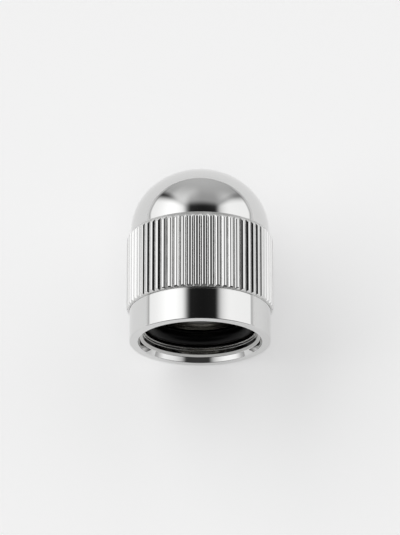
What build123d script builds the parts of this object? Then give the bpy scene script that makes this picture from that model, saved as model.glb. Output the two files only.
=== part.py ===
from build123d import *
import os
from math import asin, cos, pi, radians, sin, tan

# Metal tyre valve cap with a domed top, a straight-knurled grip band and a rubber sealing ring.
# All sizes are millimetres. The origin is the centre of the mouth and +Z runs up the axis to the dome.

# Skirt and relief groove, outside
skirt_diameter = 10.80
skirt_height = 2.46
lip_outer_chamfer = 0.06
relief_width = 0.085
relief_depth = 0.035

# Straight knurl: V grooves with a narrow land of the turned bar left between them
knurl_diameter = 11.25
knurl_count = 65
first_groove_angle = -pi / 2
knurl_depth = 0.157
knurl_groove_width = 0.36
knurl_height = 6.09
lower_chamfer_height = 0.165
lower_chamfer_width = 0.19
upper_chamfer_height = 0.44

# Neck and dome: a flatter crown, out to this angle from the axis, that runs into a rounder shoulder
dome_diameter = 10.64
neck_height = 0.43
dome_rise = 4.76
crown_angle = 43

# Mouth: a tapered counterbore and the lead-in cone behind it
mouth_diameter = 9.50
mouth_depth = 0.40
mouth_end_diameter = 9.32
lip_inner_chamfer = 0.03
lead_in_height = 0.18

# Step, and the sloped lip that keeps the sealing ring in its groove
step_diameter = 8.83
step_depth = 0.28
keeper_diameter = 8.50
keeper_width = 0.22
keeper_slope_height = 0.17

# Groove of the sealing ring
groove_diameter = 8.96
groove_width = 1.30

# Sealing ring, its round section pressed slightly flat by the groove
ring_section_width = 1.06
ring_section_height = 1.04
ring_clearance = 0.02

# Hole for the valve stem, at the crests of its thread
thread_crest_diameter = 6.90
thread_entry_diameter = 7.75
thread_entry_angle = 90
thread_length = 5.20
drill_point_angle = 118

# Heights worked out from the sizes above
relief_top = skirt_height + relief_width
crest_start = relief_top + lower_chamfer_height
knurl_top = relief_top + knurl_height
crest_end = knurl_top - upper_chamfer_height
dome_base = knurl_top + neck_height
top = dome_base + dome_rise
lead_in_top = mouth_depth + lead_in_height
keeper_start = lead_in_top + step_depth
groove_start = keeper_start + keeper_width
groove_end = groove_start + groove_width
thread_entry_width = (thread_entry_diameter - thread_crest_diameter) / 2
thread_entry_height = thread_entry_width / tan(radians(thread_entry_angle / 2))
thread_start = groove_end + thread_entry_height
thread_end = thread_start + thread_length
drill_point_height = thread_crest_diameter / 2 / tan(radians(drill_point_angle / 2))

# Radii worked out from the sizes above
skirt_radius = skirt_diameter / 2
knurl_radius = knurl_diameter / 2
dome_radius = dome_diameter / 2
thread_crest_radius = thread_crest_diameter / 2
mouth_radius = mouth_diameter / 2
ring_mid_radius = (groove_diameter - ring_section_width) / 2 - ring_clearance

# Change in the counterbore's radius for each millimetre of its depth
mouth_taper = (mouth_diameter - mouth_end_diameter) / 2 / mouth_depth

# The crown arc and the shoulder arc share one tangent where they meet, so that point and both centres line up
crown_sine = sin(radians(crown_angle))
crown_cosine = cos(radians(crown_angle))
centre_distance = (dome_radius - dome_rise) / (crown_sine + crown_cosine - 1)
shoulder_centre_radius = centre_distance * crown_sine
shoulder_radius = dome_radius - shoulder_centre_radius
crown_radius = shoulder_radius + centre_distance
shoulder_angle = 90 - crown_angle

# Angles round the knurl, in radians
knurl_pitch = 2 * pi / knurl_count
half_groove = asin(knurl_groove_width / 2 / knurl_radius)

# The cutters of the knurl's end chamfers run on past the crests by this much
trim_margin = 0.15
lower_chamfer_slope = lower_chamfer_height / lower_chamfer_width
upper_chamfer_slope = upper_chamfer_height / (knurl_radius - dome_radius)


def polar(radius, angle):
    return (radius * cos(angle), radius * sin(angle))


# Knurled band
with BuildPart() as knurl_band:
    with BuildSketch(Plane.XY.offset(relief_top)):
        with BuildLine():
            for groove in range(knurl_count):
                middle = first_groove_angle + groove * knurl_pitch
                next_middle = middle + knurl_pitch
                root = polar(knurl_radius - knurl_depth, middle)
                crest_start_point = polar(knurl_radius, middle + half_groove)
                crest_middle_point = polar(knurl_radius, middle + knurl_pitch / 2)
                crest_end_point = polar(knurl_radius, next_middle - half_groove)
                next_root = polar(knurl_radius - knurl_depth, next_middle)
                Line(root, crest_start_point)
                ThreePointArc(crest_start_point, crest_middle_point, crest_end_point)
                Line(crest_end_point, next_root)
        make_face()
    extrude(amount=knurl_height)
    with BuildSketch(Plane.XZ):
        with BuildLine():
            Polyline(
                (0, relief_top),
                (knurl_radius - lower_chamfer_width, relief_top),
                (knurl_radius + trim_margin, crest_start + trim_margin * lower_chamfer_slope),
                (knurl_radius + trim_margin, crest_end - trim_margin * upper_chamfer_slope),
                (dome_radius, knurl_top),
                (0, knurl_top),
                close=True,
            )
        make_face()
    revolve(axis=Axis.Z, mode=Mode.INTERSECT)

# Shell, turned from one bar and then plated
with BuildPart() as cap_shell:
    with BuildSketch(Plane.XZ) as outside:
        with BuildLine():
            Polyline(
                (dome_radius, dome_base),
                (dome_radius, relief_top),
                (skirt_radius - relief_depth, relief_top),
                (skirt_radius - relief_depth, skirt_height),
                (skirt_radius, skirt_height),
                (skirt_radius, 0),
                (0, 0),
                (0, top),
            )
            CenterArc((0, top - crown_radius), crown_radius, 90, -crown_angle)
            CenterArc((shoulder_centre_radius, dome_base), shoulder_radius, shoulder_angle, -shoulder_angle)
        make_face()
        chamfer(outside.vertices().group_by(Axis.Y)[0].sort_by(Axis.X)[-1], lip_outer_chamfer)
    revolve(axis=Axis.Z)
    add(knurl_band.part)
    with BuildSketch(Plane.XZ):
        with BuildLine():
            Polyline(
                (mouth_radius + lip_inner_chamfer, 0),
                (0, 0),
                (0, thread_end + drill_point_height),
                (thread_crest_radius, thread_end),
                (thread_crest_radius, thread_start),
                (thread_entry_diameter / 2, groove_end),
                (groove_diameter / 2, groove_end),
                (groove_diameter / 2, groove_start),
                (keeper_diameter / 2, groove_start),
                (keeper_diameter / 2, keeper_start + keeper_slope_height),
                (step_diameter / 2, keeper_start),
                (step_diameter / 2, lead_in_top),
                (mouth_end_diameter / 2, mouth_depth),
                (mouth_radius - lip_inner_chamfer * mouth_taper, lip_inner_chamfer),
                close=True,
            )
        make_face()
    revolve(axis=Axis.Z, mode=Mode.SUBTRACT)

# Sealing ring, a rubber ring that sits in its groove behind the mouth
with BuildPart() as sealing_ring:
    with BuildSketch(Plane.XZ):
        with Locations((ring_mid_radius, groove_start + groove_width / 2)):
            Ellipse(ring_section_width / 2, ring_section_height / 2)
    revolve(axis=Axis.Z)

os.makedirs("parts", exist_ok=True)
cap_shell.part.label = "cap_shell"
export_step(cap_shell.part, "parts/cap_shell.step")
sealing_ring.part.label = "sealing_ring"
export_step(sealing_ring.part, "parts/sealing_ring.step")
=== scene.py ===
from math import atan2, cos, degrees, exp, pi, radians, sin, tan

import bmesh
import bpy
import numpy as np
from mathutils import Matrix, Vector


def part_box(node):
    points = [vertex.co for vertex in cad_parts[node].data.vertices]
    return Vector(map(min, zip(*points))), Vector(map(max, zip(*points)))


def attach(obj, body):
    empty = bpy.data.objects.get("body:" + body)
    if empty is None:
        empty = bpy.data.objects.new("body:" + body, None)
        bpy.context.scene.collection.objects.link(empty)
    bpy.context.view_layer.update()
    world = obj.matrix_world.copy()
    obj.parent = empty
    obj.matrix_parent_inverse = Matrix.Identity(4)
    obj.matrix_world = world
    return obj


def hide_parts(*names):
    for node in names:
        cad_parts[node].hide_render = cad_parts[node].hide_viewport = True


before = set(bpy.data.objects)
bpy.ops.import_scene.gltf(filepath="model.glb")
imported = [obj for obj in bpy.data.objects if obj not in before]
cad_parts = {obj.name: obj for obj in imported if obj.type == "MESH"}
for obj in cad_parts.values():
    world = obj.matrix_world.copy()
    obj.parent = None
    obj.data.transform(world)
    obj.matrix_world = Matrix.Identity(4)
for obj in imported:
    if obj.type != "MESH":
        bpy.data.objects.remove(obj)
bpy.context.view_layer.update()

# Looks of a metal tyre valve cap: a chrome-plated shell with a knurled grip band and a dome, and a black
# rubber sealing ring inside its mouth. The origin is the centre of the mouth and +Z runs up the axis.

shell_low, shell_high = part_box("cap_shell")

# The sizes below are millimetres, and MM turns them into Blender's metres
MM = 0.001
cap_height = (shell_high.z - shell_low.z) / MM
knurl_radius = 5.625

# Skirt and relief groove
skirt_radius = 5.40
skirt_height = 2.46
relief_radius = 5.365
relief_top = 2.545

# Straight knurl: V grooves with a narrow land of the bar between them. The plating softens them a little,
# over this many columns of the mesh on each side
knurl_count = 65
first_groove_angle = -pi / 2
knurl_depth = 0.168
root_width = 0.016
land_width = 0.178
knurl_softening = 0.024
softened_columns = 4
knurl_height = 6.09
lower_chamfer_height = 0.165
lower_chamfer_width = 0.19
upper_chamfer_height = 0.44

# Neck and dome, a half ellipse turned about the axis
dome_radius = 5.32
neck_height = 0.43

# Mouth, its tapered counterbore, the step, the keeper of the sealing ring and the groove behind it
mouth_radius = 4.75
mouth_end_radius = 4.61
mouth_depth = 0.43
step_radius = 4.38
step_start = 0.555
keeper_middle_radius = 4.33
keeper_radius = 4.25
keeper_start = 0.87
keeper_end = 1.04
groove_radius = 4.48
groove_start = 1.08
groove_end = 2.38

# Two small steps at the entry of the stem hole
first_entry_step = 2.62
second_entry_step = 2.87
second_entry_radius = 3.84
entry_radius = 3.74
entry_bevel = 0.035

# Right-handed thread of the stem hole. Half a crest and one flank are shares of the pitch
thread_crest_radius = 3.45
thread_root_radius = 3.875
thread_pitch = 0.794
thread_start = 2.97
thread_end = 8.005
thread_crest_height = 2.80
thread_crest_angle = pi / 2
thread_half_crest = 1 / 8
thread_flank = 5 / 16
drill_point_angle = 118

# Rounding of the edges under the plating
lip_round = 0.09
inner_lip_round = 0.05
mouth_corner_round = 0.06
keeper_round = 0.015
edge_round = 0.03
fine_round = 0.015

# Smooth shading turns only this close to an edge, and long straight faces stay flat between
edge_support = 0.02

# How finely the shell is divided: round the axis, along the dome, in one turn of thread and round an edge
knurl_columns = 20 * knurl_count
dome_columns = 4 * knurl_count
bore_columns = 2 * knurl_count
dome_rows = 56
thread_rows_per_turn = 16
edge_steps = 4
sharp_angle = radians(38)

# Points closer than this are one, and shorter edges are closed, in metres
join_distance = 1e-7
shortest_edge = 1e-8

knurl_top = relief_top + knurl_height
dome_base = knurl_top + neck_height
dome_rise = cap_height - dome_base


# Mesh of a turned shape
class TurnedMesh:
    """Rings of points round the Z axis, joined by bands of faces. Sizes are millimetres."""

    def __init__(self):
        self.points = []
        self.faces = []

    def ring(self, radius, height, columns):
        """Adds one ring and returns the numbers of its points. Radius and height may differ by column."""
        angles = first_groove_angle + 2 * pi * np.arange(columns) / columns
        radii = np.broadcast_to(radius, columns)
        heights = np.broadcast_to(height, columns)
        start = len(self.points)
        for angle, r, z in zip(angles, radii, heights):
            self.points.append((r * cos(angle) * MM, r * sin(angle) * MM, z * MM))
        return list(range(start, start + columns))

    def pole(self, height, ring):
        """Closes a ring with a fan to a point on the axis."""
        top = len(self.points)
        self.points.append((0, 0, height * MM))
        for i, a in enumerate(ring):
            self.faces.append((a, ring[(i + 1) % len(ring)], top))

    def band(self, fine, coarse):
        """Joins two rings. The first may have several times as many points as the second."""
        ratio = len(fine) // len(coarse)
        if ratio == 1:
            for i, a in enumerate(fine):
                j = (i + 1) % len(fine)
                self.faces.append((a, fine[j], coarse[j], coarse[i]))
            return
        for i, a in enumerate(coarse):
            b = coarse[(i + 1) % len(coarse)]
            run = [fine[(i * ratio + k) % len(fine)] for k in range(ratio + 1)]
            half = ratio // 2
            for k in range(ratio):
                self.faces.append((run[k], run[k + 1], a if k < half else b))
            self.faces.append((a, run[half], b))

    def profile(self, corners, columns):
        """Turns a profile of (radius, height, rounding) corners and returns its first and last rings."""
        rows = supported(rounded_profile(corners, columns))
        rings = [self.ring(row[:, 0], row[:, 1], columns) for row in rows]
        for lower, upper in zip(rings, rings[1:]):
            self.band(lower, upper)
        return rings[0], rings[-1]


def rounded_profile(corners, columns):
    """Rows of (radius, height) points along a profile, with an arc at each corner between its ends."""
    places = []
    for radius, height, _ in corners:
        both = [np.broadcast_to(size, columns) for size in (radius, height)]
        places.append(np.stack(both, axis=1))
    rows = [places[0]]
    for before, corner, after, (_, _, rounding) in zip(places, places[1:], places[2:], corners[1:]):
        if rounding == 0:
            rows.append(corner)
            continue
        back = unit(before - corner)
        ahead = unit(after - corner)
        half_angle = np.arccos(np.sum(back * ahead, axis=1, keepdims=True)) / 2
        centre = corner + unit(back + ahead) * rounding / np.sin(half_angle)
        reach = rounding / np.tan(half_angle)
        first = unit(corner + back * reach - centre)
        last = unit(corner + ahead * reach - centre)
        sweep = pi - 2 * half_angle
        for step in range(edge_steps + 1):
            share = step / edge_steps
            direction = (first * np.sin((1 - share) * sweep) + last * np.sin(share * sweep)) / np.sin(sweep)
            rows.append(centre + rounding * direction)
    rows.append(places[-1])
    return rows


def supported(rows):
    """The same rows with one more close to each end of every long straight stretch."""
    result = [rows[0]]
    for before, after in zip(rows, rows[1:]):
        stretch = after - before
        if np.linalg.norm(stretch, axis=1).min() > 3 * edge_support:
            result.append(before + unit(stretch) * edge_support)
            result.append(after - unit(stretch) * edge_support)
        result.append(after)
    return result


def unit(vectors):
    return vectors / np.linalg.norm(vectors, axis=1, keepdims=True)


# Shapes of the knurl and the thread
def knurl_surface(columns):
    """Radius of the knurl at each column round the axis."""
    pitch = 2 * pi * knurl_radius / knurl_count
    spacing = 2 * pi * knurl_radius / columns
    along = spacing * np.arange(columns)
    from_root = abs((along + pitch / 2) % pitch - pitch / 2)
    flank = (pitch - land_width - root_width) / 2
    sharp = knurl_radius - knurl_depth * (1 - np.clip((from_root - root_width / 2) / flank, 0, 1))
    shifts = range(-softened_columns, softened_columns + 1)
    weights = [exp(-((shift * spacing / knurl_softening) ** 2) / 2) for shift in shifts]
    return sum(weight * np.roll(sharp, shift) for weight, shift in zip(weights, shifts)) / sum(weights)


def thread_surface(turns, height):
    """Radius of the threaded wall, by the turns since a crest, with a cone at each of its ends."""
    from_crest = abs((turns + 0.5) % 1 - 0.5)
    rise = min(max((from_crest - thread_half_crest) / thread_flank, 0), 1)
    wall = thread_crest_radius + (thread_root_radius - thread_crest_radius) * rise
    opened = entry_radius - (height - thread_start)
    closed = entry_radius + (height - thread_start)
    runout = thread_crest_radius + (thread_end - height)
    return min(max(wall, opened), closed, runout)


def add_thread(mesh):
    """One long strip of faces that winds up the wall, flattened against the wall's two ends."""
    turns = (thread_end - thread_start) / thread_pitch + 2
    rows = int(turns * thread_rows_per_turn) + 1
    first_height = thread_start - thread_pitch
    grid = []
    for row in range(rows + 1):
        line = []
        for column in range(bore_columns):
            around = column / bore_columns
            angle = first_groove_angle + 2 * pi * around
            wound = first_height + thread_pitch * (row / thread_rows_per_turn + around)
            height = min(max(wound, thread_start), thread_end)
            past_mark = (angle - thread_crest_angle) / (2 * pi)
            radius = thread_surface((wound - thread_crest_height) / thread_pitch - past_mark, height)
            line.append(len(mesh.points))
            mesh.points.append((radius * cos(angle) * MM, radius * sin(angle) * MM, height * MM))
        grid.append(line)
    for row in range(rows):
        for column in range(bore_columns - 1):
            a, b = grid[row][column], grid[row][column + 1]
            c, d = grid[row + 1][column + 1], grid[row + 1][column]
            mesh.faces.append((a, b, c, d))
    for row in range(rows - thread_rows_per_turn):
        next_turn = row + thread_rows_per_turn
        a, d = grid[row][-1], grid[row + 1][-1]
        b, c = grid[next_turn][0], grid[next_turn + 1][0]
        mesh.faces.append((a, b, c, d))


def make_shell():
    """The whole shell: outside from the lip over the dome, and inside from the lip to the drill point."""
    mesh = TurnedMesh()
    lip_middle = (skirt_radius + mouth_radius) / 2
    knurl = knurl_surface(knurl_columns)
    lower_slope = lower_chamfer_height / lower_chamfer_width
    upper_slope = upper_chamfer_height / (knurl_radius - dome_radius)
    knurl_foot = knurl_radius - lower_chamfer_width
    foot_middle = (relief_radius + knurl_foot) / 2
    outside_lip, relief = mesh.profile(
        [
            (lip_middle, 0, 0),
            (skirt_radius, 0, lip_round),
            (skirt_radius, skirt_height, fine_round),
            (relief_radius, skirt_height, 0),
            (relief_radius, relief_top, 0),
            (foot_middle, relief_top, 0),
        ],
        dome_columns,
    )
    knurl_start, neck = mesh.profile(
        [
            (foot_middle, relief_top, 0),
            (knurl_foot, relief_top, fine_round),
            (knurl, relief_top + (knurl - knurl_foot) * lower_slope, edge_round),
            (knurl, knurl_top - (knurl - dome_radius) * upper_slope, edge_round),
            (dome_radius, knurl_top, edge_round),
            (dome_radius, (knurl_top + dome_base) / 2, 0),
        ],
        knurl_columns,
    )
    mesh.band(knurl_start, relief)
    rings = []
    for row in range(dome_rows):
        slope = pi / 2 * row / dome_rows
        height = dome_base + dome_rise * sin(slope)
        rings.append(mesh.ring(dome_radius * cos(slope), height, dome_columns))
    mesh.band(neck, rings[0])
    for lower, upper in zip(rings, rings[1:]):
        mesh.band(lower, upper)
    mesh.pole(dome_base + dome_rise, rings[-1])

    inside_lip, _ = mesh.profile(
        [
            (lip_middle, 0, 0),
            (mouth_radius, 0, inner_lip_round),
            (mouth_end_radius, mouth_depth, mouth_corner_round),
            (step_radius, step_start, fine_round),
            (step_radius, keeper_start, fine_round),
            (keeper_middle_radius, keeper_start, keeper_round),
            (keeper_middle_radius, keeper_end, fine_round),
            (keeper_radius, keeper_end, keeper_round),
            (keeper_radius, groove_start, keeper_round),
            (groove_radius, groove_start, 0),
            (groove_radius, groove_end, 0),
            (thread_root_radius + entry_bevel, groove_end, 0),
            (thread_root_radius, groove_end + entry_bevel, 0),
            (thread_root_radius, first_entry_step, 0),
            (second_entry_radius, first_entry_step + entry_bevel, 0),
            (second_entry_radius, second_entry_step, 0),
            (entry_radius, thread_start, 0),
        ],
        bore_columns,
    )
    mesh.band(outside_lip, inside_lip)
    add_thread(mesh)
    bore_end = mesh.ring(thread_crest_radius, thread_end, bore_columns)
    drill_point = thread_end + thread_crest_radius / tan(radians(drill_point_angle / 2))
    mesh.pole(drill_point, bore_end)
    return build_object("plated_shell", mesh)


def build_object(name, mesh):
    """A smooth-shaded object from a turned mesh, its doubled points joined and its faces turned outward."""
    data = bpy.data.meshes.new(name)
    data.from_pydata(mesh.points, [], mesh.faces)
    work = bmesh.new()
    work.from_mesh(data)
    bmesh.ops.remove_doubles(work, verts=work.verts, dist=join_distance)
    bmesh.ops.dissolve_degenerate(work, edges=work.edges, dist=shortest_edge)
    bmesh.ops.recalc_face_normals(work, faces=work.faces)
    work.to_mesh(data)
    work.free()
    data.shade_smooth()
    data.set_sharp_from_angle(angle=sharp_angle)
    piece = bpy.data.objects.new(name, data)
    bpy.context.scene.collection.objects.link(piece)
    return piece


def toward(azimuth, elevation):
    """Unit vector from the cap, in degrees. Azimuth 0 is the camera's side and + is to its right."""
    around, up = radians(azimuth), radians(elevation)
    return Vector((sin(around) * cos(up), -cos(around) * cos(up), sin(up)))


# Node trees
class Nodes:
    """Adds nodes to a tree. Each method takes numbers or outputs and returns the new node's output."""

    def __init__(self, tree):
        self.tree = tree

    def add(self, kind, **settings):
        node = self.tree.nodes.new("ShaderNode" + kind)
        for name, value in settings.items():
            setattr(node, name, value)
        return node

    def put(self, value, socket):
        if isinstance(value, bpy.types.NodeSocket):
            self.tree.links.new(value, socket)
        else:
            socket.default_value = value

    def math(self, operation, a, b=0.0):
        node = self.add("Math", operation=operation)
        self.put(a, node.inputs[0])
        self.put(b, node.inputs[1])
        return node.outputs[0]

    def product(self, first, *others):
        for other in others:
            first = self.math("MULTIPLY", first, other)
        return first

    def rest(self, share):
        """1 less this share."""
        return self.math("SUBTRACT", 1.0, share)

    def fade(self, value, start, end):
        """0 before start and 1 after end, with a soft step between them."""
        node = self.add("MapRange", interpolation_type="SMOOTHSTEP")
        self.put(value, node.inputs["Value"])
        self.put(start, node.inputs["From Min"])
        self.put(end, node.inputs["From Max"])
        return node.outputs["Result"]

    def window(self, value, low, high, soft):
        """1 between low and high, with soft edges centred on them."""
        opened = self.fade(value, low - soft, low + soft)
        closed = self.fade(value, high - soft, high + soft)
        return self.math("SUBTRACT", opened, closed)

    def hill(self, value, top, soft):
        """1 at the top, falling to 0 on both sides."""
        up = self.fade(value, top - 2 * soft, top)
        down = self.fade(value, top, top + 2 * soft)
        return self.math("SUBTRACT", up, down)

    def mix(self, share, a, b):
        """a where share is 0 and b where it is 1."""
        node = self.add("Mix", data_type="FLOAT")
        self.put(share, node.inputs[0])
        self.put(a, node.inputs[2])
        self.put(b, node.inputs[3])
        return node.outputs[0]

    def mix_colours(self, share, a, b):
        node = self.add("Mix", data_type="RGBA")
        self.put(share, node.inputs[0])
        self.put(a, node.inputs[6])
        self.put(b, node.inputs[7])
        return node.outputs[2]

    def place(self, coordinates):
        """X, Y and Z of the named texture coordinates."""
        source = self.add("TexCoord").outputs[coordinates]
        node = self.add("SeparateXYZ")
        self.tree.links.new(source, node.inputs[0])
        return node.outputs

    def cone(self, azimuth, elevation, half_angle, soft=8):
        """1 for rays within this many degrees of a direction, with a soft edge."""
        source = self.add("TexCoord").outputs["Generated"]
        node = self.add("VectorMath", operation="DOT_PRODUCT")
        self.tree.links.new(source, node.inputs[0])
        node.inputs[1].default_value = toward(azimuth, elevation)
        edges = [cos(radians(half_angle + shift)) for shift in (soft, -soft)]
        return self.fade(node.outputs["Value"], *edges)

    def noise(self, wavelength, detail):
        """Soft noise from 0 to 1, with blotches about this many millimetres apart."""
        source = self.add("TexCoord").outputs["Object"]
        node = self.add("TexNoise")
        self.tree.links.new(source, node.inputs["Vector"])
        node.inputs["Scale"].default_value = 1 / (wavelength * MM)
        node.inputs["Detail"].default_value = detail
        return node.outputs[0]

    def bump(self, height, depth):
        """A normal for a height from 0 to 1 that stands this many millimetres high at 1."""
        node = self.add("Bump")
        self.put(height, node.inputs["Height"])
        node.inputs["Distance"].default_value = depth * MM
        return node.outputs[0]


# Materials
def principled(name, **inputs):
    """A material with one Principled shader and its own values, the material's nodes and the shader."""
    material = bpy.data.materials.new(name)
    material.use_nodes = True
    shader = material.node_tree.nodes["Principled BSDF"]
    for socket, value in inputs.items():
        shader.inputs[socket.replace("_", " ")].default_value = value
    return material, Nodes(material.node_tree), shader


# Plated metal. A pair of roughnesses is the least and the most that its blotches reach
plating_colour = (0.70, 0.70, 0.695, 1)
plating_roughness = (0.03, 0.06)
# Painted shade: darker colours inside the mouth and the stem hole, where the recess lies in shade
mouth_shade_colour = (0.50, 0.50, 0.49, 1)
bore_shade_colour = (0.50, 0.49, 0.465, 1)
bore_roughness = 0.10
# Grime with painted shade: a darker colour along the roots of the knurl
root_dirt_and_shade_colour = (0.52, 0.52, 0.51, 1)
root_roughness = 0.40

# Black rubber
rubber_colour = (0.002, 0.002, 0.002, 1)
rubber_roughness = (0.30, 0.44)
rubber_sheen = 0.12


def make_chrome():
    """Bright plating, duller in the bore, with painted shade inside the mouth and the bore, and a little
    grime with painted shade along the roots of the knurl.
    """
    material, nodes, shader = principled("plated_metal", Metallic=1.0)
    x, y, z = nodes.place("Object")
    radius = nodes.math("SQRT", nodes.math("ADD", nodes.product(x, x), nodes.product(y, y)))
    radius = nodes.math("DIVIDE", radius, MM)
    height = nodes.math("DIVIDE", z, MM)
    blotches = nodes.noise(wavelength=0.9, detail=3)

    root = knurl_radius - knurl_depth
    near_root = nodes.rest(nodes.fade(radius, root, root + 0.6 * knurl_depth))
    in_root = nodes.product(near_root, nodes.window(height, relief_top, knurl_top, soft=0.05))
    # Mask of grime with painted shade in the creases at the knurl roots, in blotches
    dirt_and_root_shade = nodes.product(in_root, nodes.fade(blotches, 0.3, 0.8))

    # Painted shade inside the mouth past its counterbore, and again deeper in the bore
    within_mouth = nodes.rest(nodes.fade(radius, mouth_end_radius - 0.03, mouth_end_radius))
    in_mouth = nodes.product(within_mouth, nodes.window(height, mouth_depth, groove_end, soft=0.02))

    within_bore = nodes.rest(nodes.fade(radius, step_radius + 0.1, step_radius + 0.2))
    bore_top = dome_base + 1.5
    in_bore = nodes.product(within_bore, nodes.window(height, groove_start, bore_top, soft=0.1))

    colour = nodes.mix_colours(dirt_and_root_shade, plating_colour, root_dirt_and_shade_colour)
    colour = nodes.mix_colours(in_mouth, colour, mouth_shade_colour)
    colour = nodes.mix_colours(in_bore, colour, bore_shade_colour)
    nodes.put(colour, shader.inputs["Base Color"])

    roughness = nodes.mix(in_root, nodes.mix(blotches, *plating_roughness), root_roughness)
    roughness = nodes.mix(in_bore, roughness, bore_roughness)
    nodes.put(roughness, shader.inputs["Roughness"])
    ripple = nodes.bump(nodes.noise(wavelength=0.5, detail=2), depth=0.0004)
    nodes.put(ripple, shader.inputs["Normal"])
    return material


def make_rubber():
    """Black moulded rubber with a fine grain."""
    material, nodes, shader = principled(
        "black_rubber", Base_Color=rubber_colour, Specular_IOR_Level=rubber_sheen
    )
    blotches = nodes.noise(wavelength=0.3, detail=3)
    nodes.put(nodes.mix(blotches, *rubber_roughness), shader.inputs["Roughness"])
    grain = nodes.bump(nodes.noise(wavelength=0.05, detail=2), depth=0.002)
    nodes.put(grain, shader.inputs["Normal"])
    return material


# Studio round the cap
# The world's light is this grey times the strengths below, so 1.25 is white. The pairs of the cards, boxes
# and gaps are left and right, and the other pairs are bottom and top
studio_grey = (0.8, 0.8, 0.8, 1)
ceiling_light = (0.60, 0.74)
card_light = (1.13, 0.96)
camera_side_light = (0.0, 0.46)
camera_side_low_light = 0.06
box_back_light = (1.47, 1.50)
box_front_light = (1.95, 1.55)
dark_gap = 0.03
gap_strength = (1.0, 0.53)
seam_strength = 0.60
pale = 0.87
dark_room = 0.05
straight_down = 0.20

# Soft light on what is not a mirror
left_fill_light = 1.78
right_fill_light = 0.86

# Board behind the cap, in metres, with the glow that only the camera and the mirrors see
board_half_width = 0.08
board_half_height = 0.30
board_colour = (0.86, 0.86, 0.86, 1)
board_glow = 0.52


def mirrored_studio(nodes):
    """What the chrome mirrors: ceiling, cards, softboxes, the dark side of the camera and a pale room."""
    x, y, z = nodes.place("Generated")
    front = nodes.product(y, -1.0)
    side = nodes.math("MAXIMUM", nodes.math("ABSOLUTE", x), 0.001)
    ahead = nodes.math("MAXIMUM", front, 0.001)
    azimuth = nodes.product(nodes.math("ARCTAN2", x, front), degrees(1))
    elevation = nodes.product(nodes.math("ARCSINE", z), degrees(1))
    on_left = nodes.math("LESS_THAN", x, 0.0)

    def by_side(left, right):
        return nodes.mix(on_left, right, left)

    def up_to(value, left, right):
        """1 below an edge and 0 beyond it. The edge on each side is a middle and a softness."""
        start = by_side(left[0] - left[1], right[0] - right[1])
        end = by_side(left[0] + left[1], right[0] + right[1])
        return nodes.rest(nodes.fade(value, start, end))

    # Ceiling, with a bright card high on the left and a dimmer one on the right
    light = nodes.mix(nodes.fade(elevation, 45, 88), *ceiling_light)
    left_card = nodes.product(
        nodes.window(azimuth, low=-62, high=-8, soft=14),
        nodes.window(elevation, low=20, high=57, soft=20),
    )
    right_card = nodes.product(
        nodes.window(azimuth, low=40, high=70, soft=14),
        nodes.window(elevation, low=31, high=51, soft=14),
    )
    light = nodes.mix(left_card, light, card_light[0])
    light = nodes.mix(right_card, light, card_light[1])

    # Dark side of the camera, black low down and grey above, by steps across and up for one step ahead
    across = nodes.math("DIVIDE", x, ahead)
    upward = nodes.math("DIVIDE", z, ahead)
    shade = nodes.mix(nodes.fade(upward, 0.41, 0.79), *camera_side_light)
    shade = nodes.mix(nodes.fade(z, -0.25, 0.2), camera_side_low_light, shade)
    camera_side = nodes.product(
        nodes.window(across, low=-0.43, high=0.59, soft=0.17),
        nodes.rest(nodes.fade(upward, 0.22, 1.82)),
    )
    light = nodes.mix(camera_side, light, shade)

    # Softboxes left and right, each with a dark gap over its top, by steps forward and up for one sideways
    reach = nodes.math("DIVIDE", front, side)
    rise = nodes.math("DIVIDE", z, side)
    right_gap = nodes.hill(rise, top=1.12, soft=0.14)
    left_gap = nodes.hill(rise, top=1.11, soft=0.22)
    gap = nodes.product(
        up_to(reach, left=(0.73, 0.67), right=(0.65, 1.20)),
        by_side(left_gap, right_gap),
        by_side(*gap_strength),
    )
    light = nodes.mix(gap, light, dark_gap)
    box = nodes.product(
        up_to(reach, left=(1.92, 1.40), right=(1.44, 0.67)),
        up_to(rise, left=(0.95, 0.24), right=(0.89, 0.19)),
        nodes.math("MAXIMUM", nodes.fade(z, -0.05, 0.1), nodes.fade(reach, 0.0, 0.4)),
    )
    box_light = nodes.mix(nodes.fade(reach, 0, 1), by_side(*box_back_light), by_side(*box_front_light))
    light = nodes.mix(box, light, box_light)

    # Dark seam beside the cap, and the pale room behind it
    below_top = nodes.rest(nodes.fade(rise, 1.2, 2.2))
    seam = nodes.product(
        nodes.hill(reach, top=-0.06, soft=0.04), below_top, nodes.fade(z, 0.0, 0.2), seam_strength
    )
    light = nodes.mix(seam, light, dark_gap)
    behind = nodes.product(nodes.rest(nodes.fade(reach, -0.22, 0.03)), below_top)
    light = nodes.mix(behind, light, pale)

    # Dark room below the softboxes, grey straight down
    below = nodes.mix(nodes.fade(z, -0.97, -0.85), straight_down, dark_room)
    return nodes.mix(nodes.fade(z, -0.50, -0.15), below, light)


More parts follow.
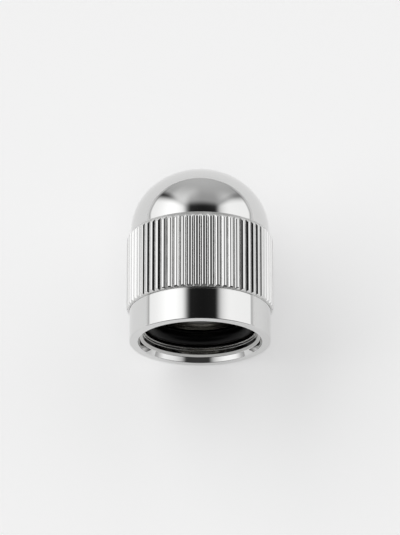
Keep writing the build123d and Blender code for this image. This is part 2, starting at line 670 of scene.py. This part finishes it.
def make_world():
    """The studio for the mirrors, soft light for the rest, and a plain pale tone for the camera."""
    world = bpy.data.worlds.new("studio")
    bpy.context.scene.world = world
    world.use_nodes = True
    world.node_tree.nodes.clear()
    nodes = Nodes(world.node_tree)
    light = mirrored_studio(nodes)

    # Wide soft light from both sides for the board and the rubber, which no mirror shows
    left_fill = nodes.product(nodes.cone(azimuth=-80.8, elevation=27.4, half_angle=49.3), left_fill_light)
    right_fill = nodes.product(nodes.cone(azimuth=84.3, elevation=46.2, half_angle=44.8), right_fill_light)
    fill = nodes.math("ADD", left_fill, right_fill)

    path = nodes.add("LightPath")
    seen = nodes.math("MAXIMUM", path.outputs["Is Camera Ray"], path.outputs["Is Transmission Ray"])
    first = nodes.rest(nodes.math("MINIMUM", path.outputs["Diffuse Depth"], 1.0))
    fill = nodes.product(fill, nodes.math("MAXIMUM", first, path.outputs["Is Diffuse Ray"]))
    mirrored = nodes.product(light, first)
    strength = nodes.mix(path.outputs["Is Glossy Ray"], nodes.mix(seen, fill, pale), mirrored)
    background = nodes.add("Background")
    background.inputs["Color"].default_value = studio_grey
    nodes.put(strength, background.inputs["Strength"])
    output = nodes.add("OutputWorld")
    nodes.put(background.outputs[0], output.inputs["Surface"])


def make_backdrop():
    """A pale board behind the cap, which rests its rim and knurl on it. It shows from its front only."""
    right, top = board_half_width, board_half_height
    corners = [(-right, 0, -top), (right, 0, -top), (right, 0, top), (-right, 0, top)]
    data = bpy.data.meshes.new("backdrop")
    data.from_pydata(corners, [], [(0, 1, 2, 3)])
    board = bpy.data.objects.new("backdrop", data)
    bpy.context.scene.collection.objects.link(board)
    lean = atan2(knurl_radius - skirt_radius, relief_top + lower_chamfer_height)
    board.location = (0, skirt_radius * MM, 0)
    board.rotation_euler = (-lean, 0, 0)

    material, nodes, shader = principled(
        "backdrop_paper", Base_Color=board_colour, Roughness=1.0, Specular_IOR_Level=0.0
    )
    path = nodes.add("LightPath")
    first = nodes.rest(nodes.math("MINIMUM", path.outputs["Diffuse Depth"], 1.0))
    mirrored = nodes.product(path.outputs["Is Glossy Ray"], first)
    seen = nodes.math("MAXIMUM", path.outputs["Is Camera Ray"], path.outputs["Is Transmission Ray"])
    shown = nodes.math("MAXIMUM", seen, mirrored)
    shader.inputs["Emission Color"].default_value = (1, 1, 1, 1)
    nodes.put(nodes.product(shown, board_glow), shader.inputs["Emission Strength"])

    choice = nodes.add("MixShader")
    nodes.put(nodes.add("NewGeometry").outputs["Backfacing"], choice.inputs[0])
    nodes.put(shader.outputs[0], choice.inputs[1])
    nodes.put(nodes.add("BsdfTransparent").outputs[0], choice.inputs[2])
    nodes.put(choice.outputs[0], material.node_tree.nodes["Material Output"].inputs["Surface"])
    data.materials.append(material)
    return board


def add_softbox(name, azimuth, elevation, distance, size, watts):
    """A square soft lamp that faces the cap from a direction and lights only what is not a mirror."""
    lamp = bpy.data.lights.new(name, "AREA")
    lamp.size = size
    lamp.energy = watts
    box = bpy.data.objects.new(name, lamp)
    bpy.context.scene.collection.objects.link(box)
    direction = toward(azimuth, elevation)
    box.location = direction * distance + Vector((0, 0, cap_height * MM / 2))
    box.rotation_euler = direction.to_track_quat("Z", "Y").to_euler()
    box.visible_glossy = False


# Camera, matched to the photograph
picture_height_px = 535
focal_length_px = 4000
sensor_mm = 36
distance_mm = 307.1
aim_height_mm = 6.115
camera_azimuth = -0.34
camera_elevation = -20.69


def make_camera():
    data = bpy.data.cameras.new("photo_camera")
    data.sensor_width = sensor_mm
    data.lens = sensor_mm * focal_length_px / picture_height_px
    camera = bpy.data.objects.new("photo_camera", data)
    bpy.context.scene.collection.objects.link(camera)
    direction = toward(camera_azimuth, camera_elevation)
    camera.location = direction * distance_mm * MM + Vector((0, 0, aim_height_mm * MM))
    camera.rotation_euler = direction.to_track_quat("Z", "Y").to_euler()
    bpy.context.scene.camera = camera


# Assembly
chrome = make_chrome()
rubber = make_rubber()

shell = make_shell()
shell.data.materials.append(chrome)
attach(shell, "root")
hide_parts("cap_shell")

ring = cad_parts["sealing_ring"]
ring.material_slots[0].material = rubber

make_world()
make_backdrop()
add_softbox("front_light", camera_azimuth, camera_elevation, distance=0.50, size=0.30, watts=0.27)
make_camera()
bpy.context.scene.view_settings.view_transform = "Standard"
